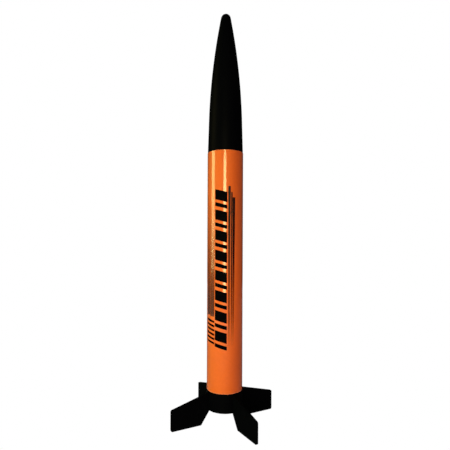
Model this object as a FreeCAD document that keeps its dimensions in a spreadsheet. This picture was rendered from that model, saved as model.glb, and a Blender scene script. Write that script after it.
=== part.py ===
import FreeCAD, Part
import Sketcher
import math
import os

# A small flying model rocket with a paper body tube, a plastic nose cone and a one-piece plastic fin unit.
# Millimetres, +Z up, origin on the axis at the level of the fins' bottom edges.

V = FreeCAD.Vector
UP = V(0, 0, 1)

# ---------------------------------------------------------------- driving dimensions

SIZES = {
    "zero": 0.0,
    # body tube: 33.66 mm outside, 32.59 mm inside, 8.75 inches long
    "tube_outer": 16.83,
    "tube_inner": 16.295,
    "tube_base": 29.9,
    "tube_length": 222.25,
    # fin unit
    "collar_outer": 17.0,
    "collar_inner": 15.6,
    "collar_base": 12.35,
    "spigot_outer": 16.24,
    "spigot_inner": 15.0,
    "spigot_top": 41.0,
    "sleeve_outer": 10.6,
    "sleeve_inner": 9.4,
    "web_top": 31.5,
    "fin_root": 16.3,
    "fin_root_top": 28.8,
    "fin_tip": 54.6,
    "fin_tip_top": 18.8,
    "fin_inner_corner": 25.0,
    "fin_thickness": 1.8,
    "fin_corner": 1.6,
    "rib_thickness": 1.4,
    "rib_base": 16.0,
    "rib_top": 30.2,
    "rib_inner": 10.4,
    "rib_outer": 15.8,
    "joint_gap": 0.05,
    # motor mount
    "motor_tube_outer": 9.35,
    "motor_tube_inner": 9.015,
    "motor_tube_base": 14.4,
    "motor_tube_length": 70.0,
    "motor_stop_base": 78.2,
    "motor_stop_inner": 9.18,
    "thrust_outer": 9.17,
    "thrust_inner": 6.5,
    "ring_outer": 16.25,
    "ring_inner": 9.37,
    "ring_thickness": 3.0,
    "front_ring_base": 80.6,
    "rear_ring_base": 44.0,
    # engine hook, a 0.6 mm spring strip along the outside of the motor tube
    "hook_width": 3.2,
    "hook_slot_width": 4.6,
    "hook_inner": 9.37,
    "hook_outer": 9.97,
    "hook_tab_inner": 6.9,
    "hook_tab_base": 78.4,
    "hook_tab_top": 79.0,
    "hook_slit_base": 78.0,
    "hook_slit_top": 79.25,
    "hook_slit_inner": 8.8,
    "lip_inner": 6.8,
    "lip_upper": 8.4,
    "lip_inner_top": 8.0,
    "lip_apex": 7.35,
    "lip_lower": 7.8,
    "lip_notch_r": 8.2,
    "lip_notch": 7.5,
    "finger_end_low_r": 11.0,
    "finger_end_low": 5.75,
    "finger_end_high_r": 11.2,
    "finger_end_high": 6.3,
    "web_slot_outer": 14.2,
    "ring_slot_outer": 12.8,
    "band_base": 72.6,
    "band_height": 3.9,
    "band_outer": 9.68,
    "band_loop_inner": 10.45,
    "band_loop_outer": 10.75,
    "band_loop_width": 4.4,
    "band_loop_hole": 3.7,
    # launch lug for a 3.2 mm rod
    "lug_outer": 2.2,
    "lug_inner": 1.985,
    "lug_length": 60.3,
    "lug_base": 92.0,
    # nose cone and its base
    "nose_base_r": 16.57,
    "nose_flank_top_r": 15.665,
    "nose_flank_top": 282.74,
    "nose_ogive": 597.17,
    "nose_tip_start_r": 4.627,
    "nose_tip_start": 380.697,
    "nose_top": 384.5,
    "nose_wall": 1.3,
    "cavity_top_r": 4.95,
    "cavity_shelf": 372.0,
    "cavity_top": 376.0,
    "shoulder_outer": 16.2,
    "shoulder_inner": 14.9,
    "shoulder_base": 232.0,
    "plug_flange": 1.6,
    "plug_depth": 7.0,
    "plug_clearance": 0.03,
    "plug_hollow": 13.4,
    "eyelet_ring": 3.0,
    "eyelet_wire": 1.05,
    "eyelet_drop": 2.2,
    # recovery gear
    "coil_inner": 10.9,
    "coil_outer": 13.5,
    "coil_base": 86.0,
    "coil_height": 13.4,
    "cord_radius": 1.2,
    "cord_hole": 1.5,
    "knot_radius": 2.4,
    "anchor_radius": 12.2,
    "pack_radius": 10.2,
    "pack_base": 122.0,
    "pack_height": 83.0,
    "pack_round": 2.5,
    "winding_inner": 10.35,
    "winding_outer": 11.3,
    "winding_base": 140.0,
    "winding_height": 46.0,
    "line_bundle": 1.0,
    "disc_radius": 3.4,
    "disc_level": 195.0,
    "disc_gap": 0.02,
    "disc_thickness": 0.12,
    # printed film on the body tube
    "film": 0.12,
    "film_gap": 0.01,
}

HOOK_ANGLE = 135.0
LUG_ANGLE = 45.0
ANCHOR_ANGLE = 315.0
FIN_COUNT = 4
LINE_COUNT = 6
FIRST_DISC_ANGLE = 10.0

doc = FreeCAD.newDocument("model_rocket")
sheet = doc.addObject("Spreadsheet::Sheet", "Dimensions")
nodes = {}


def fill_sheet():
    """One row for each driving dimension: its name in column A and its aliased number in column B."""
    for row, (alias, value) in enumerate(SIZES.items(), start=1):
        sheet.set(f"A{row}", alias)
        sheet.set(f"B{row}", str(value))
        sheet.setAlias(f"B{row}", alias)
    doc.recompute()


# ---------------------------------------------------------------- sums of dimensions


def amount(formula):
    """The value of a sum such as 'tube_base + tube_length'."""
    total, sign = 0.0, 1.0
    for word in formula.split():
        if word in "+-":
            sign = 1.0 if word == "+" else -1.0
        else:
            total += sign * sheet.get(word)
    return total


def linked(formula):
    """The same sum as an expression on the sheet."""
    return " ".join(w if w in "+-" else f"Dimensions.{w}" for w in formula.split())


def bind(thing, prop, formula):
    thing.setExpression(prop, linked(formula))


# ---------------------------------------------------------------- building blocks


def keep(label, thing):
    """Names a finished piece and puts it on the list of nodes."""
    thing.Label = label
    nodes[label] = thing
    return thing


def cylinder(radius, height, base):
    piece = doc.addObject("Part::Cylinder", "Cylinder")
    bind(piece, "Radius", radius)
    bind(piece, "Height", height)
    bind(piece, "Placement.Base.z", base)
    return piece


def cut(base, *tools):
    for tool in tools:
        piece = doc.addObject("Part::Cut", "Cut")
        piece.Base, piece.Tool = base, tool
        base = piece
    return base


def fuse(base, *others):
    for other in others:
        piece = doc.addObject("Part::Fuse", "Fuse")
        piece.Base, piece.Tool = base, other
        base = piece
    return base


def ring(outer, inner, height, base):
    return cut(cylinder(outer, height, base), cylinder(inner, height, base))


def polar(radius, angle, z=0.0):
    turn = math.radians(angle)
    return V(radius * math.cos(turn), radius * math.sin(turn), z)


def move_out(piece, radius, angle):
    """Moves a piece out from the axis by a bound radius, in the direction of a plain angle."""
    piece.setExpression("Placement.Base.x", f"({linked(radius)}) * cos({angle} deg)")
    piece.setExpression("Placement.Base.y", f"({linked(radius)}) * sin({angle} deg)")
    return piece


def radial_box(inner, outer, width, base, top, angle):
    """A box that lies along a radius, from inner to outer, and is centred on it."""
    piece = doc.addObject("Part::Box", "Box")
    piece.Placement = FreeCAD.Placement(V(), FreeCAD.Rotation(UP, angle))
    bind(piece, "Length", f"{outer} - {inner}")
    bind(piece, "Width", width)
    bind(piece, "Height", f"{top} - {base}")
    reach, half = linked(inner), f"{linked(width)} / 2"
    piece.setExpression("Placement.Base.x", f"{reach} * cos({angle} deg) + {half} * sin({angle} deg)")
    piece.setExpression("Placement.Base.y", f"{reach} * sin({angle} deg) - {half} * cos({angle} deg)")
    bind(piece, "Placement.Base.z", base)
    return piece


def plane_of(body, role):
    return next(f for f in body.Origin.OriginFeatures if f.Role == role)


def profile(body, name, role, corners, arcs=()):
    """A closed outline in one of the body's planes. Each corner is a pair of sums. arcs maps the index of
    the corner where a side starts to the radius of that side, when it bulges away from the axis, or to "cap"
    for a round end centred on the axis. An arc always runs upwards, so a side that goes down starts at its
    end."""
    sketch = body.newObject("Sketcher::SketchObject", name)
    sketch.AttachmentSupport = [(plane_of(body, role), "")]
    sketch.MapMode = "FlatFace"
    arcs = dict(arcs)
    spots = [V(amount(x), amount(y), 0) for x, y in corners]
    count = len(spots)
    first = []
    for i, start in enumerate(spots):
        end = spots[(i + 1) % count]
        down = i in arcs and end.y < start.y
        first.append(2 if down else 1)
        if i in arcs:
            low, high = (end, start) if down else (start, end)
            radius = cap_radius(low, high) if arcs[i] == "cap" else amount(arcs[i])
            sketch.addGeometry(bulging_arc(low, high, radius), False)
        else:
            sketch.addGeometry(Part.LineSegment(start, end), False)
    for i, (x, y) in enumerate(corners):
        after = (i + 1) % count
        sketch.addConstraint(Sketcher.Constraint("Coincident", i, 3 - first[i], after, first[after]))
        pin_down(sketch, i, first[i], "x", x)
        pin_down(sketch, i, first[i], "y", y)
    for i, radius in arcs.items():
        if radius == "cap":
            sketch.addConstraint(Sketcher.Constraint("PointOnObject", i, 3, -2))
        else:
            number = sketch.addConstraint(Sketcher.Constraint("Radius", i, amount(radius)))
            bind(sketch, f"Constraints[{number}]", radius)
    return sketch


def pin_down(sketch, side, end, letter, formula):
    """Fixes one coordinate of a corner to the sheet, or puts the corner on the axis when it is zero."""
    if formula == "zero":
        sketch.addConstraint(Sketcher.Constraint("PointOnObject", side, end, -2 if letter == "x" else -1))
        return
    kind = f"Distance{letter.upper()}"
    number = sketch.addConstraint(Sketcher.Constraint(kind, -1, 1, side, end, amount(formula)))
    bind(sketch, f"Constraints[{number}]", formula)


def cap_radius(start, end):
    """The radius of the round end that leaves the axis at end and passes through start."""
    height = end.y - start.y
    return (start.x**2 + height**2) / (2 * height)


def bulging_arc(start, end, radius):
    """The arc from a low outer point to a higher inner one, seen from outside as convex."""
    chord = end - start
    middle = (start + end) * 0.5
    rise = math.sqrt(radius**2 - (chord.Length / 2) ** 2)
    inward = V(-chord.y, chord.x, 0).normalize()
    centre = middle + inward * rise
    begin = math.atan2(start.y - centre.y, start.x - centre.x)
    finish = math.atan2(end.y - centre.y, end.x - centre.x)
    circle = Part.Circle(centre, UP, radius)
    return Part.ArcOfCircle(circle, begin, finish)


def revolve(body, sketch):
    feature = body.newObject("PartDesign::Revolution", "Revolution")
    feature.Profile = sketch
    feature.ReferenceAxis = (sketch, ["V_Axis"])
    feature.Angle = 360.0
    doc.recompute()
    return feature


def pad(body, sketch, thickness):
    """A slab centred on its sketch's plane."""
    feature = body.newObject("PartDesign::Pad", "Pad")
    feature.Profile = sketch
    feature.SideType = "Symmetric"
    bind(feature, "Length", thickness)
    doc.recompute()
    return feature


def repeat_round(body, feature, count):
    pattern = body.newObject("PartDesign::PolarPattern", "PolarPattern")
    pattern.Originals = [feature]
    pattern.Axis = (plane_of(body, "Z_Axis"), [""])
    pattern.Angle = 360.0
    pattern.Occurrences = count
    body.Tip = pattern
    doc.recompute()
    return pattern


# ---------------------------------------------------------------- fin unit


def collar_and_sleeve(body):
    """The revolved part: collar, spigot into the tube, web and the sleeve that grips the motor tube."""
    corners = [
        ("collar_outer", "collar_base"),
        ("collar_outer", "tube_base - joint_gap"),
        ("spigot_outer", "tube_base - joint_gap"),
        ("spigot_outer", "spigot_top"),
        ("spigot_inner", "spigot_top"),
        ("spigot_inner", "web_top"),
        ("sleeve_outer", "web_top"),
        ("sleeve_outer", "spigot_top"),
        ("sleeve_inner", "spigot_top"),
        ("sleeve_inner", "motor_tube_base"),
        ("sleeve_outer", "motor_tube_base"),
        ("sleeve_outer", "tube_base"),
        ("collar_inner", "tube_base"),
        ("collar_inner", "collar_base"),
    ]
    return revolve(body, profile(body, "CollarSection", "XZ_Plane", corners))


def fins(body):
    corners = [
        ("fin_root", "fin_root_top"),
        ("fin_root", "collar_base"),
        ("fin_inner_corner", "zero"),
        ("fin_tip", "zero"),
        ("fin_tip", "fin_tip_top"),
    ]
    one = pad(body, profile(body, "FinOutline", "XZ_Plane", corners), "fin_thickness")
    return repeat_round(body, one, FIN_COUNT)


def ribs(body):
    """Stiffening ribs under the web, in line with the fins."""
    corners = [
        ("rib_inner", "rib_base"),
        ("rib_outer", "rib_base"),
        ("rib_outer", "rib_top"),
        ("rib_inner", "rib_top"),
    ]
    one = pad(body, profile(body, "RibOutline", "XZ_Plane", corners), "rib_thickness")
    return repeat_round(body, one, FIN_COUNT)


def round_fin_tips(body, base):
    """Rounds the two corners at each fin's tip, on the short edges that cross the fin's thickness."""
    tip, top = amount("fin_tip"), amount("fin_tip_top")
    names = []
    for number, edge in enumerate(base.Shape.Edges, start=1):
        ends = [v.Point for v in edge.Vertexes]
        level = len(ends) == 2 and abs(ends[0].z - ends[1].z) < 1e-6
        at_tip = all(math.hypot(p.x, p.y) > tip - 0.1 for p in ends)
        if level and at_tip and min(abs(ends[0].z), abs(ends[0].z - top)) < 1e-6:
            names.append(f"Edge{number}")
    fillet = body.newObject("PartDesign::Fillet", "TipCorners")
    fillet.Base = (base, names)
    bind(fillet, "Radius", "fin_corner")
    doc.recompute()
    return fillet


def fin_unit():
    body = doc.addObject("PartDesign::Body", "FinMoulding")
    collar_and_sleeve(body)
    fins(body)
    last = ribs(body)
    body.Tip = round_fin_tips(body, last)
    slot = radial_box("hook_slit_inner", "web_slot_outer", "hook_slot_width",
                      "collar_base", "spigot_top", HOOK_ANGLE)
    keep("fin_unit", cut(body, slot))


# ---------------------------------------------------------------- tubes, rings and lug


def body_tube():
    keep("body_tube", ring("tube_outer", "tube_inner", "tube_length", "tube_base"))


def motor_tube():
    """Its front end is opened out where the thrust ring is glued in, so the bore ends there."""
    wall = ring("motor_tube_outer", "motor_tube_inner", "motor_tube_length", "motor_tube_base")
    seat_height = "motor_tube_base + motor_tube_length - motor_stop_base"
    wall = cut(wall, cylinder("motor_stop_inner", seat_height, "motor_stop_base"))
    slit = radial_box("hook_slit_inner", "hook_outer", "hook_slot_width",
                      "hook_slit_base", "hook_slit_top", HOOK_ANGLE)
    keep("motor_tube", cut(wall, slit))


def thrust_ring():
    """Stops the motor; its front face is level with the motor tube's."""
    height = "motor_tube_base + motor_tube_length - hook_tab_top - joint_gap"
    keep("thrust_ring", ring("thrust_outer", "thrust_inner", height, "hook_tab_top + joint_gap"))


def centering_rings():
    hole = cylinder("cord_hole", "ring_thickness", "front_ring_base")
    move_out(hole, "anchor_radius", ANCHOR_ANGLE)
    front = ring("ring_outer", "ring_inner", "ring_thickness", "front_ring_base")
    keep("front_centering_ring", cut(front, hole))
    rear = ring("ring_outer", "ring_inner", "ring_thickness", "rear_ring_base")
    notch = radial_box("hook_slit_inner", "ring_slot_outer", "hook_slot_width", "rear_ring_base",
                       "rear_ring_base + ring_thickness", HOOK_ANGLE)
    keep("rear_centering_ring", cut(rear, notch))


def hook_band():
    """A plastic band round the motor tube, with a raised loop that the hook lies under."""
    top = "band_base + band_height"
    loop = radial_box("hook_slit_inner", "band_loop_outer", "band_loop_width", "band_base", top, HOOK_ANGLE)
    outside = fuse(cylinder("band_outer", "band_height", "band_base"), loop)
    space = radial_box("zero", "band_loop_inner", "band_loop_hole", "band_base", top, HOOK_ANGLE)
    keep("hook_band", cut(outside, cylinder("ring_inner", "band_height", "band_base"), space))


def launch_lug():
    wall = ring("lug_outer", "lug_inner", "lug_length", "lug_base")
    keep("launch_lug", move_out(wall, "tube_outer + lug_outer", LUG_ANGLE))


# ---------------------------------------------------------------- engine hook


def engine_hook():
    """A spring strip: a tab through the motor tube at the front, a lip behind the motor and a finger tab."""
    corners = [
        ("hook_tab_inner", "hook_tab_top"),
        ("hook_tab_inner", "hook_tab_base"),
        ("hook_inner", "hook_tab_base"),
        ("hook_inner", "lip_upper"),
        ("lip_inner", "lip_inner_top"),
        ("lip_inner", "lip_apex"),
        ("finger_end_low_r", "finger_end_low"),
        ("finger_end_high_r", "finger_end_high"),
        ("lip_notch_r", "lip_notch"),
        ("hook_outer", "lip_lower"),
        ("hook_outer", "hook_tab_top"),
    ]
    body = doc.addObject("PartDesign::Body", "HookStrip")
    pad(body, profile(body, "HookSide", "XZ_Plane", corners), "hook_width")
    body.Placement = FreeCAD.Placement(V(), FreeCAD.Rotation(UP, HOOK_ANGLE))
    keep("engine_hook", body)


# ---------------------------------------------------------------- nose cone


def nose_cone():
    """A hollow moulding: rounded tip, ogive, straight flank and the shoulder that slides into the tube."""
    base = "tube_base + tube_length + joint_gap"
    corners = [
        ("shoulder_inner", "shoulder_base"),
        ("shoulder_outer", "shoulder_base"),
        ("shoulder_outer", base),
        ("nose_base_r", base),
        ("nose_flank_top_r", "nose_flank_top"),
        ("nose_tip_start_r", "nose_tip_start"),
        ("zero", "nose_top"),
        ("zero", "cavity_top"),
        ("cavity_top_r", "cavity_shelf"),
        ("nose_flank_top_r - nose_wall", "nose_flank_top"),
        ("shoulder_inner", base),
    ]
    body = doc.addObject("PartDesign::Body", "NoseMoulding")
    arcs = {4: "nose_ogive", 5: "cap", 8: "nose_ogive - nose_wall"}
    revolve(body, profile(body, "NoseSection", "XZ_Plane", corners, arcs))
    keep("nose_cone", body)


def nose_cone_base():
    """The insert that closes the shoulder: a flange, a plug inside the shoulder and the eyelet below."""
    flange = cylinder("shoulder_outer", "plug_flange", "shoulder_base - plug_flange")
    plug = cylinder("shoulder_inner - plug_clearance", "plug_depth", "shoulder_base")
    hollow = cylinder("plug_hollow", "plug_depth", "shoulder_base")
    eyelet = doc.addObject("Part::Torus", "Eyelet")
    bind(eyelet, "Radius1", "eyelet_ring")
    bind(eyelet, "Radius2", "eyelet_wire")
    eyelet.Placement = FreeCAD.Placement(V(), FreeCAD.Rotation(V(1, 0, 0), 90))
    bind(eyelet, "Placement.Base.z", "shoulder_base - plug_flange - eyelet_drop")
    keep("nose_cone_base", cut(fuse(flange, plug, eyelet), hollow))


# ---------------------------------------------------------------- recovery gear


def route_wire(points):
    """Straight runs joined by tangent arcs, each as large as its two runs allow."""
    edges, at = [], points[0]
    for before, corner, after in zip(points, points[1:], points[2:]):
        come, leave = (corner - before), (after - corner)
        turn = come.getAngle(leave)
        back = 0.45 * min(come.Length, leave.Length)
        radius = back / math.tan(turn / 2)
        come.normalize()
        leave.normalize()
        enter, leave_at = corner - come * back, corner + leave * back
        inward = (leave - come).normalize()
        centre = corner + inward * math.hypot(back, radius)
        middle = centre - inward * radius
        edges.append(Part.LineSegment(at, enter).toShape())
        edges.append(Part.Arc(enter, middle, leave_at).toShape())
        print(f"  bend radius {radius:.1f} mm")
        at = leave_at
    edges.append(Part.LineSegment(at, points[-1]).toShape())
    return Part.Wire(edges)


def round_tube(points, radius):
    wire = route_wire(points)
    start = (points[1] - points[0]).normalize()
    circle = Part.Wire(Part.Circle(points[0], start, radius).toShape())
    solid = wire.makePipeShell([circle], True, True)
    ratio = solid.Volume / (math.pi * radius**2 * wire.Length)
    print(f"  length {wire.Length:.1f} mm, volume ratio {ratio:.4f}")
    return solid


def feature(label, shape):
    piece = doc.addObject("Part::Feature", label)
    piece.Shape = shape
    return keep(label, piece)


def shock_cord_coil():
    """The outer shape of the coiled part, with the short end that goes down through the ring to its knot."""
    coil = ring("coil_outer", "coil_inner", "coil_height", "coil_base")
    knot_z = "front_ring_base - knot_radius - joint_gap"
    tail = cylinder("cord_radius", "coil_base + cord_radius - front_ring_base + knot_radius", knot_z)
    knot = doc.addObject("Part::Sphere", "Knot")
    bind(knot, "Radius", "knot_radius")
    bind(knot, "Placement.Base.z", knot_z)
    for piece in (tail, knot):
        move_out(piece, "anchor_radius", ANCHOR_ANGLE)
    keep("shock_cord_coil", fuse(coil, tail, knot))


def shock_cord_riser():
    """From the coil up beside the packed canopy to a knot under the eyelet."""
    radius = amount("cord_radius")
    beside = amount("tube_inner") - 2 * radius
    foot = amount("coil_base") + amount("coil_height") + radius
    points = [
        polar(amount("anchor_radius"), 300, foot),
        polar(beside, 322, 122),
        polar(beside, 345, 146),
        polar(beside, 366, 170),
        polar(beside, 342, 193),
        polar(11.8, 320, 210),
        V(0.4, -2.6, 221.0),
    ]
    knot = Part.makeSphere(amount("knot_radius"), V(0.2, -2.9, 220.2))
    feature("shock_cord_riser", round_tube(points, radius).fuse(knot).removeSplitter())


def parachute_canopy():
    pack = cylinder("pack_radius", "pack_height", "pack_base")
    doc.recompute()
    rounded = doc.addObject("Part::Fillet", "PackEnds")
    rounded.Base = pack
    size = amount("pack_round")
    rims = [i for i, e in enumerate(pack.Shape.Edges, start=1) if e.Closed and e.Length > 1]
    rounded.Edges = [(i, size, size) for i in rims]
    keep("parachute_canopy", rounded)


def shroud_lines():
    """The winding round the pack, and the lines together from there to the eyelet."""
    inner, outer = amount("winding_inner"), amount("winding_outer")
    low, height = amount("winding_base"), amount("winding_height")
    foot = V(0, 0, low)
    winding = Part.makeCylinder(outer, height, foot).cut(Part.makeCylinder(inner, height, foot))
    radius = amount("line_bundle")
    beside = amount("pack_radius") + radius + 0.5
    top = low + height
    points = [
        polar(beside, 150, top - 3),
        polar(beside, 142, top + 9),
        polar(beside, 132, top + 22),
        polar(5.6, 118, top + 30),
        V(-0.4, 2.6, 221.4),
    ]
    feature("shroud_lines", winding.fuse(round_tube(points, radius)).removeSplitter())


def tape_discs():
    """Six small round patches that hold the lines to the canopy's corners, seen at the top of the pack."""
    size, level = amount("disc_radius"), amount("disc_level")
    inner = amount("pack_radius + disc_gap")
    outer = inner + amount("disc_thickness")
    foot = V(0, 0, level - 2 * size)
    centre, step = V(0, 0, level), 360 / LINE_COUNT
    shell = Part.makeCylinder(outer, 4 * size, foot).cut(Part.makeCylinder(inner, 4 * size, foot))
    discs = [
        shell.common(Part.makeCylinder(size, 2 * outer, centre, polar(1, FIRST_DISC_ANGLE + i * step)))
        for i in range(LINE_COUNT)
    ]
    feature("line_tape_discs", Part.Compound(discs))


# ---------------------------------------------------------------- printed film on the body tube


def film_shell():
    inner = amount("tube_outer + film_gap")
    low, height = amount("tube_base"), amount("tube_length")
    outside = Part.makeCylinder(inner + amount("film"), height, V(0, 0, low))
    return outside.cut(Part.makeCylinder(inner, height, V(0, 0, low)))


def film_patch(angle, corners):
    """The film inside an outline, given as (sideways, height) in the plane that faces the given angle."""
    across = polar(1, angle + 90)
    spots = [across * u + UP * z for u, z in corners]
    face = Part.Face(Part.makePolygon(spots + spots[:1]))
    return film_shell().common(face.extrude(polar(amount("tube_outer") * 1.3, angle)))


def film_stripe(start_angle, end_angle, low, high):
    """The film between two directions and two heights."""
    inner = amount("tube_outer + film_gap")
    outer = inner + amount("film")
    sweep = end_angle - start_angle
    piece = Part.makeCylinder(outer, high - low, V(0, 0, low), UP, sweep)
    piece = piece.cut(Part.makeCylinder(inner, high - low, V(0, 0, low), UP, sweep))
    piece.rotate(V(), UP, start_angle)
    return piece


def tapered_stripe(foot, head, low, high):
    """The film between the two directions of its foot and the two of its head."""
    middle = (sum(foot) + sum(head)) / 4

    def across(angle):
        return amount("tube_outer") * math.sin(math.radians(angle - middle))

    return film_patch(middle, [
        (across(foot[0]), low),
        (across(foot[1]), low),
        (across(head[1]), high),
        (across(head[0]), high),
    ])


GRAPHIC_ANGLE = 227.1
BAR_COUNT = 8
BAR_PITCH = 18.35
BAR_HALF_WIDTH = 5.6
BAR_SLANT = 2.9
HEAVY_BAR = 9.2
LIGHT_BAR = 3.4
BAR_GAP = 2.6
BARS_LOW = 72.8


def slanted_bar(angle, half, rise, low, thickness):
    """A bar across the film at an angle of the tube that drops towards its right end."""
    return film_patch(angle, [
        (-half, low + rise),
        (half, low),
        (half, low + thickness),
        (-half, low + thickness + rise),
    ])


def graphic_bars():
    """A column of plain slanted bars, a heavy one and a light one in turn."""
    bars = []
    for i in range(BAR_COUNT):
        low = BARS_LOW + i * BAR_PITCH - BAR_SLANT
        for start, thickness in ((LIGHT_BAR + BAR_GAP, HEAVY_BAR), (0, LIGHT_BAR)):
            bars.append(slanted_bar(GRAPHIC_ANGLE, BAR_HALF_WIDTH, BAR_SLANT, low + start, thickness))
    feature("graphic_bars", Part.Compound(bars))


ACCENT_ANGLE = 188.0
ACCENT_COUNT = 6
ACCENT_PITCH = 3.9
ACCENT_HALF_WIDTH = 5.1
ACCENT_SLANT = 2.2
ACCENT_BAR = 1.9
ACCENT_LOW = 74.5


def accent_bars():
    """Small plain bars under the left stripes."""
    feature("accent_bars", Part.Compound([
        slanted_bar(ACCENT_ANGLE, ACCENT_HALF_WIDTH, ACCENT_SLANT, low, ACCENT_BAR)
        for low in (ACCENT_LOW + i * ACCENT_PITCH for i in range(ACCENT_COUNT))
    ]))


# the two directions of the foot, the two of the head, low and high end
RIGHT_STRIPES = [
    ((250.2, 255.2), (249.8, 257.2), 74, 219),
    ((259.2, 262.4), (258.8, 263.6), 74, 213.6),
    ((264.6, 268.2), (264.4, 272.6), 74, 209),
]
# start and end direction, low and high end
LEFT_STRIPES = [(168.4, 187.4, 101, 213), (188.4, 205.4, 100, 213)]


def pinstripes():
    feature("pinstripes_right", Part.Compound([tapered_stripe(*stripe) for stripe in RIGHT_STRIPES]))
    feature("pinstripes_left", Part.Compound([film_stripe(*stripe) for stripe in LEFT_STRIPES]))


# ---------------------------------------------------------------- build, check and write


def check(thing):
    if {"Invalid", "Error"} & set(thing.State):
        raise RuntimeError(f"{thing.Label} is in state {thing.State}")


def write_parts():
    os.makedirs("parts", exist_ok=True)
    for label, thing in nodes.items():
        shape = thing.Shape
        if shape.isNull() or not shape.isValid():
            raise RuntimeError(f"{label} has no valid shape")
        shape.exportStep(f"parts/{label}.step")
        print(f"{label}: {shape.Volume:.0f} mm3, {len(shape.Solids)} solids")


def main():
    fill_sheet()
    fin_unit()
    body_tube()
    motor_tube()
    thrust_ring()
    centering_rings()
    hook_band()
    launch_lug()
    engine_hook()
    nose_cone()
    nose_cone_base()
    shock_cord_coil()
    shock_cord_riser()
    parachute_canopy()
    shroud_lines()
    tape_discs()
    graphic_bars()
    accent_bars()
    pinstripes()
    doc.recompute()
    for thing in doc.Objects:
        check(thing)
    write_parts()


main()
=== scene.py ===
import math

import bmesh
import bpy
from mathutils import Matrix, Vector


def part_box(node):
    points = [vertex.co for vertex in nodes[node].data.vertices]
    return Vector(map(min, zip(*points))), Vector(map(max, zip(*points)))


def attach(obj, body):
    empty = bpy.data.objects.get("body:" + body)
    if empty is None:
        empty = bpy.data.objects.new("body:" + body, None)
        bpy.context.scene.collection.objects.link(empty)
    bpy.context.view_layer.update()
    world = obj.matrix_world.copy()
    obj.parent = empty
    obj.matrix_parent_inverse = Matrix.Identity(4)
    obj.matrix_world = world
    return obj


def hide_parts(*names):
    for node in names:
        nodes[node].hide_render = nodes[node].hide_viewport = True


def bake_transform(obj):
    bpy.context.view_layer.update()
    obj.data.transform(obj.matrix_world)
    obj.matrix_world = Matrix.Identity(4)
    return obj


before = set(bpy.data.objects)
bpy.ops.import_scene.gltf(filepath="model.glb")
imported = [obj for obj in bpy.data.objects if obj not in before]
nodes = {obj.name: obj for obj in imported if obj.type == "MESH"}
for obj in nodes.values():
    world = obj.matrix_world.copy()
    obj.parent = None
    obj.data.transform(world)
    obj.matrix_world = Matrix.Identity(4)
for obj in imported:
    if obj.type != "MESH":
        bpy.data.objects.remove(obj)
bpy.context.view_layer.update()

# The model rocket's looks, in metres, in the frame of its CAD model. Comments give sizes in millimetres.

MM = 0.001
AIRFRAME, NOSE = "airframe", "nose"

# ---------------------------------------------------------------- sizes read from the frame

tube_low, tube_high = (Vector(c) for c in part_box("body_tube"))
nose_low, nose_high = (Vector(c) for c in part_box("nose_cone"))
pack_low, pack_high = (Vector(c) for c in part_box("parachute_canopy"))
TUBE_R = tube_high.x
TUBE_BASE, TUBE_TOP = tube_low.z, tube_high.z
TUBE_WALL = 0.535 * MM
NOSE_R = nose_high.x
NOSE_TOP = nose_high.z


# ---------------------------------------------------------------- mesh helpers


ON_AXIS = 1e-6
SAME_PLACE = 2e-6
NO_LENGTH = 1e-7
CREASE = math.radians(35.0)


def new_object(name, verts, faces):
    mesh = bpy.data.meshes.new(name)
    mesh.from_pydata([tuple(v) for v in verts], [], faces)
    mesh.validate()
    piece = bpy.data.objects.new(name, mesh)
    bpy.context.scene.collection.objects.link(piece)
    mesh.polygons.foreach_set("use_smooth", [True] * len(mesh.polygons))
    mesh.update()
    return piece


def even_angles(count, extra=()):
    """Directions round the axis in radians, with a few more where a detail needs them."""
    directions = [2 * math.pi * i / count for i in range(count)] + [a % (2 * math.pi) for a in extra]
    return sorted({round(a, 9) for a in directions})


def lathe(name, profile, angles, lift=None, zones=None):
    """Turns a closed profile of (radius, height) points round the axis. lift(angle, radius, height) is added
    to the radius. zones gives the material index of each stretch of the profile."""
    verts, faces, stretch = [], [], []
    count, steps = len(angles), len(profile)
    for angle in angles:
        for radius, height in profile:
            reach = radius + (lift(angle, radius, height) if lift and radius > ON_AXIS else 0.0)
            verts.append((reach * math.cos(angle), reach * math.sin(angle), height))
    for i in range(count):
        here, after = i * steps, ((i + 1) % count) * steps
        for k in range(steps):
            up = (k + 1) % steps
            faces.append((here + k, after + k, after + up, here + up))
            stretch.append(k)
    piece = new_object(name, verts, faces)
    if zones:
        piece.data.polygons.foreach_set("material_index", [zones[k] for k in stretch])
    weld(piece)
    return piece


def weld(piece):
    bm = bmesh.new()
    bm.from_mesh(piece.data)
    bmesh.ops.remove_doubles(bm, verts=bm.verts, dist=SAME_PLACE)
    bmesh.ops.dissolve_degenerate(bm, edges=bm.edges, dist=NO_LENGTH)
    bmesh.ops.recalc_face_normals(bm, faces=bm.faces)
    bm.to_mesh(piece.data)
    bm.free()
    piece.data.update()


def keep_creases(piece):
    """Keeps creases sharp while the rest stays smooth."""
    bm = bmesh.new()
    bm.from_mesh(piece.data)
    for edge in bm.edges:
        edge.smooth = not (len(edge.link_faces) == 2 and edge.calc_face_angle(0.0) > CREASE)
    bm.to_mesh(piece.data)
    bm.free()


def arc(centre, radius, start, end, steps):
    """Points of an arc in the profile plane; angles in degrees from the outward direction."""
    turn = [math.radians(start + (end - start) * i / steps) for i in range(steps + 1)]
    return [(centre[0] + radius * math.cos(t), centre[1] + radius * math.sin(t)) for t in turn]


def paint(piece, *materials):
    piece.data.materials.clear()
    for material in materials:
        piece.data.materials.append(material)


# ---------------------------------------------------------------- material helpers


def new_material(name):
    material = bpy.data.materials.new(name)
    material.use_nodes = True
    material.node_tree.nodes.clear()
    return material, material.node_tree


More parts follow.
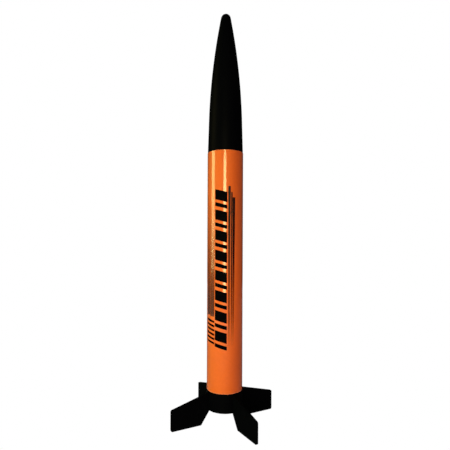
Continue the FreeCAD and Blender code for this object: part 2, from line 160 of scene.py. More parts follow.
def put(tree, kind, settings=None, **inputs):
    """Adds a node. settings are its own properties; inputs are constants or sockets, by socket name with
    underscores for spaces."""
    node = tree.nodes.new(kind)
    for key, value in (settings or {}).items():
        setattr(node, key, value)
    for key, value in inputs.items():
        socket = node.inputs[key.replace("_", " ")]
        if isinstance(value, bpy.types.NodeSocket):
            tree.links.new(value, socket)
        else:
            socket.default_value = value
    return node


def sums(tree, operation, *values, clamp=False):
    node = tree.nodes.new("ShaderNodeMath")
    node.operation = operation
    node.use_clamp = clamp
    for socket, value in zip(node.inputs, values):
        if isinstance(value, bpy.types.NodeSocket):
            tree.links.new(value, socket)
        else:
            socket.default_value = value
    return node.outputs[0]


def surface(tree):
    """The point on the piece, in the frame's metres."""
    return tree.nodes.new("ShaderNodeTexCoord").outputs["Object"]


def parts(tree, point):
    """A point's x, y and z."""
    return put(tree, "ShaderNodeSeparateXYZ", Vector=point).outputs


def from_axis(tree, x, y):
    squares = sums(tree, "ADD", sums(tree, "MULTIPLY", x, x), sums(tree, "MULTIPLY", y, y))
    return sums(tree, "SQRT", squares)


def from_seam(tree, x, y, z, pitch):
    """0 on the helical seam of a wound tube, and up to half a turn away from it."""
    turn = sums(tree, "DIVIDE", sums(tree, "ARCTAN2", y, x), 2 * math.pi)
    helix = sums(tree, "FRACT", sums(tree, "ADD", turn, sums(tree, "DIVIDE", z, pitch)))
    return sums(tree, "ABSOLUTE", sums(tree, "SUBTRACT", helix, 0.5))


def noise(tree, point, scale, detail, roughness=0.5, distortion=0.0):
    node = put(tree, "ShaderNodeTexNoise", Vector=point, Scale=scale, Detail=detail, Roughness=roughness,
               Distortion=distortion)
    return node.outputs["Fac"]


def stretched(tree, point, scale):
    """The point with each direction scaled, for streaks and fibres."""
    return put(tree, "ShaderNodeMapping", Vector=point, Scale=scale).outputs[0]


def remap(tree, value, low, high, new_low, new_high, smooth=False):
    settings = {"interpolation_type": "SMOOTHSTEP"} if smooth else None
    node = put(tree, "ShaderNodeMapRange", settings, Value=value, From_Min=low, From_Max=high, To_Min=new_low,
               To_Max=new_high)
    return node.outputs[0]


def blend_colours(tree, factor, first, second):
    node = tree.nodes.new("ShaderNodeMix")
    node.data_type = "RGBA"
    for socket, value in ((node.inputs[0], factor), (node.inputs[6], first), (node.inputs[7], second)):
        if isinstance(value, bpy.types.NodeSocket):
            tree.links.new(value, socket)
        else:
            socket.default_value = value if not isinstance(value, tuple) else (*value, 1.0)
    return node.outputs[2]


def shade(tree, value, low, high, first, second, most=1.0):
    """One colour where the value is low, running to another, or most of the way to it, where it is high."""
    return blend_colours(tree, remap(tree, value, low, high, 0.0, most), first, second)


def bump(tree, height, distance, strength):
    return put(tree, "ShaderNodeBump", Height=height, Distance=distance, Strength=strength).outputs[0]


def finish_with(tree, **inputs):
    shader = put(tree, "ShaderNodeBsdfPrincipled", **inputs)
    put(tree, "ShaderNodeOutputMaterial", Surface=shader.outputs[0])
    return shader


# ---------------------------------------------------------------- materials


def black_plastic(name):
    """Satin moulded styrene: a very fine mould texture, slow sink waves, rubbed patches, worn fin feet."""
    material, tree = new_material(name)
    point = surface(tree)
    x, y, z = parts(tree, point)
    grain = noise(tree, point, 5200.0, 2.0)
    flow = noise(tree, stretched(tree, point, (60.0, 60.0, 14.0)), 1.0, 2.0)
    rubbing = noise(tree, stretched(tree, point, (260.0, 260.0, 90.0)), 1.0, 5.0, 0.7)
    rub = remap(tree, rubbing, 0.56, 0.72, 0.0, 1.0)
    outward = remap(tree, from_axis(tree, x, y), 24 * MM, 30 * MM, 0.0, 1.0)
    foot = sums(tree, "MULTIPLY", remap(tree, z, 0.0, 2.2 * MM, 1.0, 0.0), outward)
    scrape = remap(tree, noise(tree, point, 900.0, 4.0), 0.35, 0.7, 0.0, 1.0)
    worn = sums(tree, "MULTIPLY", foot, scrape, clamp=True)
    patches = sums(tree, "MULTIPLY", rub, 0.35)
    colour = blend_colours(tree, patches, (0.0012, 0.0012, 0.0013), (0.0026, 0.0026, 0.0027))
    colour = blend_colours(tree, sums(tree, "MULTIPLY", worn, 0.5), colour, (0.016, 0.016, 0.0165))
    rough = sums(tree, "ADD", remap(tree, flow, 0.3, 0.7, 0.40, 0.48), sums(tree, "MULTIPLY", rub, 0.09))
    height = sums(tree, "ADD", sums(tree, "MULTIPLY", grain, 0.35), flow)
    finish_with(tree, Base_Color=colour, Roughness=rough, Specular_IOR_Level=0.006,
                Normal=bump(tree, height, 0.05 * MM, 0.55))
    return material


def printed_orange():
    """The glossy printed wrap of the paper tube, with the faint helical seam of the tube under it."""
    material, tree = new_material("printed_orange_wrap")
    point = surface(tree)
    x, y, z = parts(tree, point)
    seam = remap(tree, from_seam(tree, x, y, z, 76 * MM), 0.0, 0.006, 1.0, 0.0, smooth=True)
    mottle = noise(tree, point, 420.0, 4.0, 0.6)
    cloud = noise(tree, stretched(tree, point, (40.0, 40.0, 12.0)), 1.0, 2.0)
    colour = shade(tree, mottle, 0.3, 0.7, (0.82, 0.121, 0.0100), (0.86, 0.131, 0.0118))
    colour = shade(tree, cloud, 0.35, 0.65, colour, (0.88, 0.140, 0.0136), 0.35)
    # A lighter, pinker band painted round the wrap at the tube's two cut ends: a painted highlight, standing
    # in for light caught on the rims.
    edge = sums(tree, "MAXIMUM", remap(tree, z, TUBE_BASE, TUBE_BASE + 0.9 * MM, 1.0, 0.0),
                remap(tree, z, TUBE_TOP - 0.35 * MM, TUBE_TOP, 0.0, 1.0))
    colour = blend_colours(tree, sums(tree, "MULTIPLY", edge, 0.55), colour, (0.86, 0.30, 0.12))
    colour = blend_colours(tree, sums(tree, "MULTIPLY", seam, 0.10), colour, (0.45, 0.07, 0.01))
    fibre = noise(tree, stretched(tree, point, (900.0, 900.0, 500.0)), 1.0, 3.0)
    height = sums(tree, "SUBTRACT", sums(tree, "MULTIPLY", fibre, 0.18), sums(tree, "MULTIPLY", seam, 0.8))
    finish_with(tree, Base_Color=colour, Roughness=remap(tree, mottle, 0.3, 0.7, 0.42, 0.5),
                Specular_IOR_Level=0.08, Coat_Weight=0.9, Coat_Roughness=0.07,
                Normal=bump(tree, height, 0.02 * MM, 0.1))
    return material


def kraft_paper():
    """Bare spiral-wound paper: long fibres, flecks and the helical joint between strips."""
    material, tree = new_material("kraft_paper")
    point = surface(tree)
    x, y, z = parts(tree, point)
    fibre = noise(tree, stretched(tree, point, (2400.0, 2400.0, 700.0)), 1.0, 4.0, 0.65)
    fleck = noise(tree, point, 1500.0, 2.0)
    seam = remap(tree, from_seam(tree, x, y, z, 58 * MM), 0.0, 0.009, 1.0, 0.0, smooth=True)
    colour = shade(tree, fibre, 0.3, 0.7, (0.30, 0.18, 0.09), (0.42, 0.265, 0.145))
    colour = shade(tree, fleck, 0.66, 0.72, colour, (0.16, 0.09, 0.045), 0.35)
    colour = blend_colours(tree, sums(tree, "MULTIPLY", seam, 0.6), colour, (0.14, 0.08, 0.04))
    finish_with(tree, Base_Color=colour, Roughness=0.86, Specular_IOR_Level=0.25,
                Normal=bump(tree, sums(tree, "SUBTRACT", fibre, seam), 0.05 * MM, 0.6))
    return material


def cut_paper_edge():
    """The sawn end of the paper tube, where its wound layers show as rings."""
    material, tree = new_material("cut_paper_edge")
    point = surface(tree)
    x, y = parts(tree, point)[:2]
    layer = sums(tree, "FRACT", sums(tree, "DIVIDE", from_axis(tree, x, y), 0.13 * MM))
    fuzz = noise(tree, point, 3600.0, 3.0)
    colour = blend_colours(tree, layer, (0.66, 0.40, 0.24), (0.46, 0.25, 0.13))
    colour = shade(tree, fuzz, 0.4, 0.7, colour, (0.78, 0.52, 0.36), 0.5)
    finish_with(tree, Base_Color=colour, Roughness=0.9, Specular_IOR_Level=0.2,
                Normal=bump(tree, sums(tree, "ADD", layer, fuzz), 0.05 * MM, 0.6))
    return material


def black_overprint():
    """Matte black ink on film, with the slight unevenness of a screened solid."""
    material, tree = new_material("black_overprint")
    point = surface(tree)
    ink = noise(tree, point, 1400.0, 4.0, 0.6)
    cloud = noise(tree, point, 90.0, 2.0)
    colour = shade(tree, ink, 0.35, 0.75, (0.0008, 0.0006, 0.0006), (0.0022, 0.0016, 0.0014))
    finish_with(tree, Base_Color=colour, Roughness=remap(tree, cloud, 0.3, 0.7, 0.5, 0.6),
                Specular_IOR_Level=0.006, Normal=bump(tree, ink, 0.01 * MM, 0.3))
    return material


FILM_CROSSINGS = 4


def fading_ink(name, ink_colour, solid_at, gone_at, power, shine):
    """A printed stripe that is solid at one height and fades out to the tube's colour at another. Light
    meets the film's two faces on its way in and again on its way out, so each face takes the fourth root."""
    material, tree = new_material(name)
    point = surface(tree)
    height = parts(tree, point)[2]
    grain = noise(tree, point, 2600.0, 2.0)
    dots = remap(tree, grain, 0.3, 0.7, -0.05, 0.05)
    away = remap(tree, height, solid_at, gone_at, 0.0, 1.0)
    rim = sums(tree, "MULTIPLY", away, sums(tree, "SUBTRACT", 1.0, away))
    fade = sums(tree, "POWER", away, power / FILM_CROSSINGS)
    clear = sums(tree, "ADD", fade, sums(tree, "MULTIPLY", dots, rim))
    cover = sums(tree, "SUBTRACT", 1.0, clear, clamp=True)
    tone = shade(tree, grain, 0.3, 0.7, ink_colour, tuple(0.7 * c for c in ink_colour), 0.4)
    finish_with(tree, Base_Color=tone, Roughness=0.45, Specular_IOR_Level=0.25, Coat_Weight=shine,
                Coat_Roughness=0.1, Alpha=cover, Normal=bump(tree, grain, 0.01 * MM, 0.07))
    return material


def spring_steel():
    """Rolled spring strip: fine lines along its length and a few darker rub marks."""
    material, tree = new_material("spring_steel_strip")
    point = surface(tree)
    lines = noise(tree, stretched(tree, point, (9000.0, 9000.0, 120.0)), 1.0, 3.0)
    marks = noise(tree, point, 500.0, 4.0, 0.7)
    colour = shade(tree, lines, 0.3, 0.7, (0.40, 0.40, 0.42), (0.60, 0.60, 0.62))
    colour = shade(tree, marks, 0.55, 0.75, colour, (0.24, 0.22, 0.21), 0.4)
    finish_with(tree, Base_Color=colour, Metallic=1.0, Roughness=remap(tree, lines, 0.3, 0.7, 0.24, 0.4),
                Normal=bump(tree, lines, 0.01 * MM, 0.4))
    return material


def fibre_board():
    """Die-cut fibre ring: speckled brown board with a rough cut edge."""
    material, tree = new_material("fibre_board")
    point = surface(tree)
    speck = noise(tree, point, 1800.0, 5.0, 0.7)
    layer = noise(tree, stretched(tree, point, (250.0, 250.0, 4200.0)), 1.0, 2.0)
    colour = shade(tree, speck, 0.3, 0.7, (0.25, 0.15, 0.08), (0.46, 0.31, 0.19))
    colour = shade(tree, layer, 0.5, 0.75, colour, (0.20, 0.12, 0.07), 0.4)
    finish_with(tree, Base_Color=colour, Roughness=0.88, Specular_IOR_Level=0.2,
                Normal=bump(tree, sums(tree, "ADD", speck, layer), 0.06 * MM, 0.6))
    return material


def frosted_film():
    """Thin polyester band: milky, slightly see-through, with scuffs."""
    material, tree = new_material("frosted_polyester")
    scuff = noise(tree, stretched(tree, surface(tree), (700.0, 700.0, 3000.0)), 1.0, 3.0)
    colour = shade(tree, scuff, 0.4, 0.7, (0.74, 0.75, 0.73), (0.84, 0.85, 0.83))
    finish_with(tree, Base_Color=colour, Roughness=remap(tree, scuff, 0.3, 0.7, 0.28, 0.42), Alpha=0.75,
                Normal=bump(tree, scuff, 0.01 * MM, 0.4))
    return material


def braided_elastic():
    """White elastic: uneven yarn and a little fuzz. The ribs of its braid are in its mesh."""
    material, tree = new_material("braided_elastic")
    point = surface(tree)
    weave = noise(tree, point, 1500.0, 2.0, 0.4)
    fuzz = sums(tree, "MULTIPLY", noise(tree, point, 7000.0, 2.0), 0.4)
    colour = shade(tree, weave, 0.35, 0.65, (0.60, 0.58, 0.54), (0.84, 0.83, 0.79))
    finish_with(tree, Base_Color=colour, Roughness=0.85, Sheen_Weight=0.3, Specular_IOR_Level=0.2,
                Normal=bump(tree, sums(tree, "ADD", weave, fuzz), 0.15 * MM, 0.7))
    return material


def twisted_line():
    """Twisted white thread, its plies a little uneven."""
    material, tree = new_material("twisted_line")
    ply = noise(tree, stretched(tree, surface(tree), (2600.0, 2600.0, 1500.0)), 1.0, 2.0)
    colour = shade(tree, ply, 0.35, 0.65, (0.62, 0.60, 0.55), (0.88, 0.87, 0.82))
    finish_with(tree, Base_Color=colour, Roughness=0.85, Sheen_Weight=0.2, Specular_IOR_Level=0.2,
                Normal=bump(tree, ply, 0.08 * MM, 0.6))
    return material


def canopy_film():
    """Thin orange polyethylene sheet: soft creases, with painted shade darkening their hollows, and a waxy
    gloss.
    """
    material, tree = new_material("canopy_polyethylene")
    point = surface(tree)
    crease_and_shade = noise(tree, stretched(tree, point, (220.0, 220.0, 60.0)), 1.0, 5.0, 0.65, 0.6)
    haze = noise(tree, point, 1200.0, 3.0)
    height = sums(tree, "ADD", crease_and_shade, sums(tree, "MULTIPLY", haze, 0.15))
    # Painted shade: the film's colour is darker where its creases sink in.
    colour = shade(tree, crease_and_shade, 0.3, 0.7, (0.62, 0.085, 0.012), (0.86, 0.17, 0.03))
    finish_with(tree, Base_Color=colour, Roughness=remap(tree, haze, 0.3, 0.7, 0.26, 0.38),
                Normal=bump(tree, height, 0.25 * MM, 0.6))
    return material


def white_tape():
    """Creped paper tape."""
    material, tree = new_material("white_tape")
    crepe = noise(tree, stretched(tree, surface(tree), (500.0, 500.0, 4000.0)), 1.0, 3.0)
    colour = shade(tree, crepe, 0.3, 0.7, (0.72, 0.71, 0.67), (0.86, 0.86, 0.83))
    finish_with(tree, Base_Color=colour, Roughness=0.7, Normal=bump(tree, crepe, 0.03 * MM, 0.5))
    return material


BLACK = black_plastic("black_moulded_plastic")
INSERT = black_plastic("black_insert_plastic")
ORANGE = printed_orange()
KRAFT = kraft_paper()
EDGE = cut_paper_edge()
OVERPRINT = black_overprint()
RIGHT_INK = fading_ink("right_stripe_ink", (0.010, 0.0012, 0.0008), 206 * MM, 72 * MM, 4.4, 0.3)
LEFT_INK = fading_ink("left_stripe_ink", (0.13, 0.020, 0.0075), 101 * MM, 213 * MM, 1.55, 0.5)
STEEL = spring_steel()
FIBRE = fibre_board()
FROSTED = frosted_film()
ELASTIC = braided_elastic()
LINE = twisted_line()
CANOPY = canopy_film()
TAPE = white_tape()


# ---------------------------------------------------------------- carried-over CAD pieces

for node, material in {
    "fin_unit": BLACK, "nose_cone_base": INSERT, "motor_tube": KRAFT, "thrust_ring": FIBRE,
    "front_centering_ring": FIBRE, "rear_centering_ring": FIBRE, "hook_band": FROSTED, "launch_lug": ORANGE,
    "engine_hook": STEEL, "graphic_bars": OVERPRINT, "accent_bars": OVERPRINT, "line_tape_discs": TAPE,
    "pinstripes_right": RIGHT_INK, "pinstripes_left": LEFT_INK,
}.items():
    paint(nodes[node], material)


def soften_edges(node, width):
    """A small round on every sharp edge, as a moulding has."""
    modifier = nodes[node].modifiers.new("edge_round", "BEVEL")
    modifier.width = width
    modifier.segments = 3
    modifier.limit_method = "ANGLE"
    modifier.angle_limit = math.radians(30.0)
    modifier.harden_normals = True


soften_edges("fin_unit", 0.35 * MM)
soften_edges("nose_cone_base", 0.2 * MM)
soften_edges("engine_hook", 0.1 * MM)


# ---------------------------------------------------------------- body tube


def body_tube():
    """The printed tube, its bare inside and its two cut ends."""
    outer, inner, nick = TUBE_R, TUBE_R - TUBE_WALL, 0.08 * MM
    profile = [
        (inner, TUBE_BASE), (outer - nick, TUBE_BASE), (outer, TUBE_BASE + nick),
        (outer, TUBE_TOP - nick), (outer - nick, TUBE_TOP), (inner, TUBE_TOP),
    ]
    tube = lathe("printed_body_tube", profile, even_angles(256), zones=[1, 1, 0, 1, 1, 2])
    keep_creases(tube)
    paint(tube, ORANGE, EDGE, KRAFT)
    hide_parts("body_tube")
    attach(tube, AIRFRAME)


body_tube()


# ---------------------------------------------------------------- nose cone

FLANK_TOP = (15.665 * MM, 282.74 * MM)
OGIVE = 597.17 * MM
TIP_START = (4.627 * MM, 380.697 * MM)
SHOULDER_OUTER, SHOULDER_INNER = 16.2 * MM, 14.9 * MM
NOSE_WALL = 1.3 * MM
NOSE_BASE = TUBE_TOP + 0.05 * MM
PARTING_ANGLES = (math.radians(150), math.radians(330))
PARTING_HALF = math.radians(0.35)


def ogive_points(radius, low, high, steps):
    """The arc between two (radius, height) points, bulging away from the axis."""
    a, b = Vector(low), Vector(high)
    chord = b - a
    inward = Vector((-chord.y, chord.x)).normalized()
    centre = (a + b) / 2 + inward * math.sqrt(radius**2 - (chord.length / 2) ** 2)
    start = math.degrees(math.atan2(a.y - centre.y, a.x - centre.x))
    end = math.degrees(math.atan2(b.y - centre.y, b.x - centre.x))
    return arc(centre, radius, start, end, steps)


def parting_ridge(angle, radius, height):
    """The fine line where the mould's halves met, a 0.05 mm ridge on two sides of the outer surface."""
    near = min(abs((angle - a + math.pi) % (2 * math.pi) - math.pi) for a in PARTING_ANGLES)
    outside = height > NOSE_BASE + 0.5 * MM and radius > 0.9 * MM
    return 0.05 * MM if outside and near < PARTING_HALF * 0.5 else 0.0


def nose_cone():
    base_round = 0.25 * MM
    tip_height = NOSE_TOP - TIP_START[1]
    tip_radius = (TIP_START[0] ** 2 + tip_height**2) / (2 * tip_height)
    tip_centre = (0.0, NOSE_TOP - tip_radius)
    tip_angle = math.degrees(math.atan2(TIP_START[1] - tip_centre[1], TIP_START[0]))
    outer = [(SHOULDER_OUTER - 0.3 * MM, nose_low.z), (SHOULDER_OUTER, nose_low.z + 0.5 * MM)]
    outer += [(SHOULDER_OUTER, NOSE_BASE - 0.3 * MM), (SHOULDER_OUTER - 0.1 * MM, NOSE_BASE)]
    outer += arc((NOSE_R - base_round, NOSE_BASE + base_round), base_round, -90, 0, 4)
    outer += ogive_points(OGIVE, FLANK_TOP, TIP_START, 48)
    outer += arc(tip_centre, tip_radius, tip_angle, 84, 14)[1:]
    gate = [(0.42 * MM, NOSE_TOP - 0.16 * MM), (0.0, NOSE_TOP - 0.16 * MM)]
    shelf = 372.0 * MM
    inner_top = (4.95 * MM, shelf)
    inner = [(0.0, shelf + 4 * MM), inner_top]
    inner_flank = (FLANK_TOP[0] - NOSE_WALL, FLANK_TOP[1])
    inner += ogive_points(OGIVE - NOSE_WALL, inner_flank, inner_top, 24)[::-1][1:]
    inner += [(SHOULDER_INNER, NOSE_BASE), (SHOULDER_INNER, nose_low.z)]
    angles = even_angles(192, [a + k * PARTING_HALF for a in PARTING_ANGLES for k in (-1, -0.4, 0, 0.4, 1)])
    cone = lathe("moulded_nose_cone", outer + gate + inner, angles, parting_ridge)
    keep_creases(cone)
    paint(cone, BLACK)
    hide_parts("nose_cone")
    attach(cone, NOSE)


nose_cone()


# ---------------------------------------------------------------- cords


def polar(radius, degrees, height):
    """A point from sizes in millimetres."""
    turn = math.radians(degrees)
    return Vector((radius * math.cos(turn), radius * math.sin(turn), height)) * MM


def smooth_line(points, steps=6):
    """Points along the smooth line that has these control points."""
    data = bpy.data.curves.new("route", "CURVE")
    data.dimensions = "3D"
    data.resolution_u = steps
    spline = data.splines.new("NURBS")
    spline.points.add(len(points) - 1)
    for spot, point in zip(spline.points, points):
        spot.co = (*point, 1.0)
    spline.order_u = 3
    spline.use_endpoint_u = True
    holder = bpy.data.objects.new("route", data)
    mesh = bpy.data.meshes.new_from_object(holder)
    line = [v.co.copy() for v in mesh.vertices]
    bpy.data.objects.remove(holder)
    bpy.data.curves.remove(data)
    bpy.data.meshes.remove(mesh)
    return line


def strand(line, radius, sides, relief):
    """The vertices and faces of a closed tube along a line. relief(turn, travelled) adds to the radius."""
    verts, faces, travelled = [], [], 0.0
    side = None
    for i, point in enumerate(line):
        ahead = (line[min(i + 1, len(line) - 1)] - line[max(i - 1, 0)]).normalized()
        side = ahead.orthogonal() if side is None else side - ahead * side.dot(ahead)
        side.normalize()
        over = ahead.cross(side)
        travelled += (point - line[i - 1]).length if i else 0.0
        for k in range(sides):
            turn = 2 * math.pi * k / sides
            reach = radius + (relief(turn, travelled) if relief else 0.0)
            verts.append(point + (side * math.cos(turn) + over * math.sin(turn)) * reach)
    for i in range(len(line) - 1):
        here, after = i * sides, (i + 1) * sides
        for k in range(sides):
            across = (k + 1) % sides
            faces.append((here + k, here + across, after + across, after + k))
    faces.append(tuple(range(sides))[::-1])
    faces.append(tuple(range((len(line) - 1) * sides, len(line) * sides)))
    return verts, faces


def strands(name, lines, radius, sides, relief=None):
    verts, faces = [], []
    for line in lines:
        more, sheets = strand(line, radius, sides, relief)
        faces += [tuple(v + len(verts) for v in face) for face in sheets]
        verts += more
    return new_object(name, verts, faces)


CORD_R = 1.2 * MM
BRAID_DEPTH = 0.07 * MM
BRAID_PITCH = 3.2 * MM
BRAID_CARRIERS = 4


def braid(turn, travelled):
    """Two sets of ribs that cross, a little below the cord's full radius."""
    way = 2 * math.pi * travelled / BRAID_PITCH
    ribs = max(math.cos(BRAID_CARRIERS * turn + way), math.cos(BRAID_CARRIERS * turn - way))
    return BRAID_DEPTH * (ribs - 1.0)


HELIX_R = 12.2
HELIX_LOW, HELIX_HIGH = 87.2, 98.0
HELIX_START, HELIX_TURNS = 336.0, 3.8
HELIX_STEPS = 16


def shock_cord_route():
    """From the knot under the front ring, through its hole, round the coil and up to the eyelet."""
    route = [polar(12.7, 315, 73.0), polar(12.6, 315, 76.5), polar(12.2, 315, 80.0), polar(12.2, 315.5, 83.2),
             polar(12.2, 319, 86.0)]
    count = round(HELIX_STEPS * HELIX_TURNS)
    for i in range(count + 1):
        share = i / count
        height = HELIX_LOW + (HELIX_HIGH - HELIX_LOW) * share
        route.append(polar(HELIX_R, HELIX_START + 360 * HELIX_TURNS * share, height))
    route += [polar(12.2, 284, 98.8), polar(12.3, 301, 101.6), polar(12.7, 312, 107.0),
              polar(13.3, 317, 114.0), polar(13.895, 322, 122), polar(13.895, 345, 146),
              polar(13.895, 366, 170), polar(13.895, 342, 193), polar(11.8, 320, 210)]
    route += [Vector(p) * MM for p in (
        (0.8, -3.2, 218.0), (0.3, -3.0, 221.5), (0.5, -2.7, 224.6), (0.55, -1.9, 227.2), (0.55, 0.0, 228.6),
        (0.55, 1.9, 227.2), (0.6, 2.2, 224.9), (0.8, 0.9, 223.0), (1.2, -1.0, 221.6))]
    return route


def wraps(centre, radius, turns, pitch, start, tilt):
    """The turns of a knot round its cord, as control points."""
    count = round(12 * turns)
    lean = Matrix.Rotation(tilt, 3, "X")
    spots = []
    for i in range(count + 1):
        turn = math.radians(start) + 2 * math.pi * turns * i / count
        height = pitch * turns * (i / count - 0.5)
        spots.append(centre + lean @ Vector((radius * math.cos(turn), radius * math.sin(turn), height)))
    return spots


def shock_cord():
    line = smooth_line(shock_cord_route(), 8)
    cord = strands("braided_shock_cord", [line], CORD_R, 16, braid)
    paint(cord, ELASTIC)
    for name, centre, body, tail in (
        ("shock_cord_lower_knot", polar(12.75, 315, 76.7), AIRFRAME, Vector((0.3, 1.2, -3.2)) * MM),
        ("shock_cord_upper_knot", Vector((0.45, -3.1, 219.6)) * MM, NOSE, Vector((2.0, -1.4, -4.2)) * MM),
    ):
        turns = wraps(centre, 2.15 * MM, 2.6, 2.3 * MM, 20.0, 0.1)
        turns = [turns[0] + tail] + turns
        knot = strands(name, [smooth_line(turns)], 1.1 * MM, 14, braid)
        paint(knot, ELASTIC)
        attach(knot, body)
    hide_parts("shock_cord_coil", "shock_cord_riser")
    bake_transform(cord)


shock_cord()


# ---------------------------------------------------------------- packed canopy and its lines

LINE_R = 0.22 * MM
WOUND_START, WOUND_TURN, WOUND_END = 50.0, 820.0, 1590.0
WOUND_HIGH, WOUND_LOW = 183.5, 141.5
UNDER_R, OVER_R = 10.6, 11.06


def wound_height(degrees):
    if degrees < WOUND_TURN:
        share = (WOUND_TURN - degrees) / (WOUND_TURN - WOUND_START)
    else:
        share = (degrees - WOUND_TURN) / (WOUND_END - WOUND_TURN)
    return WOUND_LOW + (WOUND_HIGH - WOUND_LOW) * share


def line_route(number):
    """One line: from its disc at the canopy's edge, down round the pack, back up and over to the eyelet."""
    disc = 60 * number + 10
    apart = 0.62 * (number - 2.5)
    route = [polar(UNDER_R, disc - 1, 197.2), polar(UNDER_R, disc, 194.0), polar(UNDER_R, disc + 4, 190.6)]
    join = disc + 44
    route.append(polar(UNDER_R, disc + 20, (187 + wound_height(join)) / 2 + apart))
    degrees = join
    while degrees < WOUND_END - 40:
        over = min(max((degrees - WOUND_TURN + 20) / 40, 0.0), 1.0)
        sway = 0.25 * math.sin(math.radians(2.3 * degrees + 50 * number))
        radius = UNDER_R + (OVER_R - UNDER_R) * over
        route.append(polar(radius, degrees, wound_height(degrees) + apart + sway))
        degrees += 22.5
    bundle = (11.3, 136, 182.0), (11.7, 147, 186.5), (11.7, 142, 195), (11.7, 132, 208), (5.6, 118, 216)
    for k, spot in enumerate(bundle):
        twist = math.radians(60 * number + 35 * k)
        spread = 0.46 if k else 0.6
        route.append(polar(*spot) + Vector((math.cos(twist), math.sin(twist), 0)) * spread * MM)
    route.append(Vector((-0.4 + 0.3 * math.cos(number), 2.6 + 0.3 * math.sin(number), 221.4)) * MM)
    return route


def shroud_lines():
    lines = [smooth_line(line_route(i), 4) for i in range(6)]
    eye = Vector((-1.15, 0.0, 225.2)) * MM
    loop = [eye + Vector((0, y, z)) * MM for y, z in (
        (2.9, -3.8), (2.4, -1.6), (1.75, 1.0), (0.9, 2.7), (-0.9, 2.7), (-1.75, 1.0), (-1.5, -1.2),
        (0.2, -2.2), (2.0, -3.0), (3.4, -4.1))]
    loops = [smooth_line([p + Vector((x, 0, 0)) * MM for p in loop], 5) for x in (-0.25, 0.25)]
    knot = smooth_line(wraps(Vector((-0.6, 2.75, 221.2)) * MM, 0.62 * MM, 4.2, 0.5 * MM, 0.0, 0.35), 5)
    piece = strands("wound_shroud_lines", lines + loops + [knot], LINE_R, 7)
    paint(piece, LINE)
    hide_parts("shroud_lines")
    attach(piece, NOSE)
    return piece


FILM_PITCH = 0.308 * MM
ROLL_INNER, ROLL_OUTER = 1.5 * MM, 10.1 * MM
ROLL_ROWS = 26
ROLL_COLUMNS = 44
FLAP_DEGREES = 150.0
PLEAT_DEPTH = 1.0 * MM
END_DEPTH, END_LENGTH = 0.8 * MM, 4 * MM


def wrinkle(turn, height):
    """How far the film lies in from the full roll, 0 to 1: long wandering pleats and slanting creases."""
    drift = 0.35 * math.sin(height / (11 * MM)) + 0.2 * math.sin(height / (4.3 * MM) + 1.7)
    pleat = 1.0 - abs(math.sin(3.5 * (turn + 0.5 * drift)))
    slant = 1.0 - abs(math.sin(1.5 * turn + height / (7.5 * MM)))
    small = 0.5 + 0.5 * math.sin(11 * turn + height / (2.1 * MM) + 2 * math.sin(height / (6.0 * MM)))
    return min(1.0, 0.62 * pleat**3 + 0.3 * slant**4 + 0.14 * small)


def canopy():
    """The folded film rolled up, its free corner lying round the outside under the lines."""
    low, high = pack_low.z, pack_high.z
    turns = (ROLL_OUTER - ROLL_INNER) / FILM_PITCH
    columns = round(turns * ROLL_COLUMNS)
    verts, faces = [], []
    for i in range(columns + 1):
        share = i / columns
        turn = 2 * math.pi * turns * share
        radius = ROLL_INNER + (ROLL_OUTER - ROLL_INNER) * share
        looseness = (radius / ROLL_OUTER) ** 2
        ragged = 0.9 * MM * (math.sin(2.1 * turn / math.pi + 1.0) + math.sin(turn * 0.37)) + 1.9 * MM
        bottom, top = low + 0.5 * ragged, high - ragged
        corner = max(0.0, 1.0 - (turns * 360 * (1 - share)) / FLAP_DEGREES)
        bottom += corner * 38 * MM
        top -= corner * 24 * MM
        for k in range(ROLL_ROWS + 1):
            height = bottom + (top - bottom) * k / ROLL_ROWS
            depth = PLEAT_DEPTH * wrinkle(turn % (2 * math.pi), height) * looseness
            ease = min(height - low, high - height) / END_LENGTH
            depth += END_DEPTH * max(0.0, 1.0 - ease) ** 2 * looseness
            verts.append(((radius - depth) * math.cos(turn), (radius - depth) * math.sin(turn), height))
    for i in range(columns):
        for k in range(ROLL_ROWS):
            a, b = i * (ROLL_ROWS + 1) + k, (i + 1) * (ROLL_ROWS + 1) + k
            faces.append((a, b, b + 1, a + 1))
    piece = new_object("rolled_canopy", verts, faces)
    paint(piece, CANOPY)
    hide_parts("parachute_canopy")
    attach(piece, NOSE)
    return piece


lines_piece = shroud_lines()
canopy()


# ---------------------------------------------------------------- camera, floor and light

VIEW_AZIMUTH = math.radians(-30.0)
VIEW_DISTANCE = 368.2 * MM
VIEW_HEIGHT = 163.2 * MM
VIEW_TURN = 0.031
VIEW_ROLL = 0.004


def camera():
    toward = Vector((math.sin(VIEW_AZIMUTH), -math.cos(VIEW_AZIMUTH), 0))
    ahead = Matrix.Rotation(VIEW_TURN, 3, "Z") @ -toward
    right = ahead.cross(Vector((0, 0, 1)))
    tilt = Matrix.Rotation(-VIEW_ROLL, 3, ahead)
    right, up = tilt @ right, tilt @ Vector((0, 0, 1))
    data = bpy.data.cameras.new("camera")
    data.lens = 31.0
    data.sensor_width = 36.0
    data.shift_x, data.shift_y = 0.0267, 0.05
    data.clip_start, data.clip_end = 0.01, 20.0
    view = bpy.data.objects.new("camera", data)
    view.matrix_world = Matrix.Translation(toward * VIEW_DISTANCE + Vector((0, 0, VIEW_HEIGHT))) @ Matrix(
        (right, up, -ahead)).transposed().to_4x4()
    bpy.context.scene.collection.objects.link(view)
    bpy.context.scene.camera = view


def seen_directly(tree):
    """1 where the camera looks straight at the surface, 0 in the light that it sends on."""
    return tree.nodes.new("ShaderNodeLightPath").outputs["Is Camera Ray"]


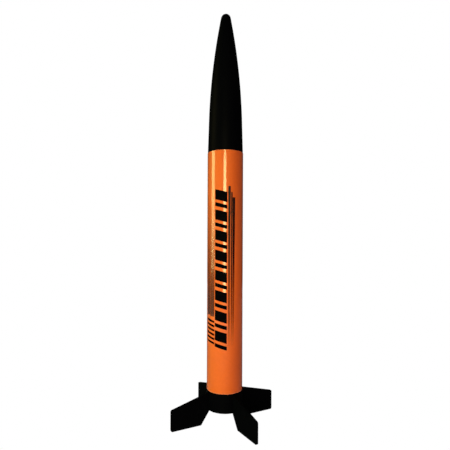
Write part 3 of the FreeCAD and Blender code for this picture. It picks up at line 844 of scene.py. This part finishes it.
def floor():
    """A white floor that runs out to the white behind it, and sends little light back up."""
    far = 3.0
    corners = [(-far, -far, 0), (far, -far, 0), (far, far, 0), (-far, far, 0)]
    plane = new_object("floor", corners, [(0, 1, 2, 3)])
    material, tree = new_material("white_floor")
    near = seen_directly(tree)
    finish_with(tree, Base_Color=blend_colours(tree, near, (0.4, 0.4, 0.4), (0.0, 0.0, 0.0)), Roughness=0.9,
                Specular_IOR_Level=0.0, Emission_Color=(1, 1, 1, 1), Emission_Strength=near)
    paint(plane, material)


def softbox(name, azimuth, distance, height, size, watts, colour, aim=None, glossy=True, diffuse=True):
    """An area light at an azimuth measured from the camera's side, positive to the viewer's right. It faces
    the axis at the height aim, or at its own height."""
    turn = VIEW_AZIMUTH + math.radians(azimuth)
    spot = Vector((math.sin(turn), -math.cos(turn), 0)) * distance + Vector((0, 0, height))
    target = Vector((0, 0, height if aim is None else aim))
    data = bpy.data.lights.new(name, "AREA")
    data.shape = "RECTANGLE"
    data.size, data.size_y = size
    data.energy = watts
    data.color = colour
    lamp = bpy.data.objects.new(name, data)
    lamp.location = spot
    lamp.rotation_euler = (target - spot).to_track_quat("-Z", "Y").to_euler()
    lamp.visible_camera = False
    lamp.visible_glossy = glossy
    lamp.visible_diffuse = diffuse
    bpy.context.scene.collection.objects.link(lamp)


AMBIENT = 0.07
KEY_DISTANCE, KEY_HEIGHT, KEY_SIZE = 0.6, 0.12, (0.35, 0.24)
FRONT_AZIMUTH, FRONT_DISTANCE = -2.5, 0.85


def light():
    """Two keys light the colour, a fill lights the back, and warm strips make the gloss lines. The keys are
    tinted, green on the left and a little magenta on the right, which runs the orange from gold to red."""
    world = bpy.data.worlds.new("studio")
    world.use_nodes = True
    tree = world.node_tree
    behind = tree.nodes["Background"]
    behind.inputs["Color"].default_value = (1, 1, 1, 1)
    tree.links.new(remap(tree, seen_directly(tree), 0.0, 1.0, AMBIENT, 1.0), behind.inputs["Strength"])
    bpy.context.scene.world = world
    for name, azimuth, watts, colour in (
        ("key_left", -52, 1.72, (1.0, 1.55, 1.0)),
        ("key_right", -2, 2.25, (1.0, 0.86, 1.0)),
    ):
        softbox(name, azimuth, KEY_DISTANCE, KEY_HEIGHT, KEY_SIZE, watts, colour, glossy=False)
    softbox("back_fill", 180, 1.3, 0.5, (0.7, 0.9), 12, (1, 1, 1), aim=0.19, glossy=False)
    softbox("left_strip", -83, 0.8, 0.445, (0.36, 0.7), 7.2, (1.0, 0.86, 0.34), diffuse=False)
    for name, height, size, watts, colour in (
        ("front_strip_low", 0.185, (0.26, 0.37), 5.9, (1.0, 0.88, 0.40)),
        ("front_strip_middle", 0.405, (0.24, 0.07), 0.92, (1.0, 0.88, 0.39)),
        ("front_strip_high", 0.47, (0.14, 0.06), 0.44, (1.0, 0.88, 0.38)),
    ):
        softbox(name, FRONT_AZIMUTH, FRONT_DISTANCE, height, size, watts, colour, diffuse=False)


camera()
floor()
light()
bpy.context.scene.view_settings.view_transform = "Standard"
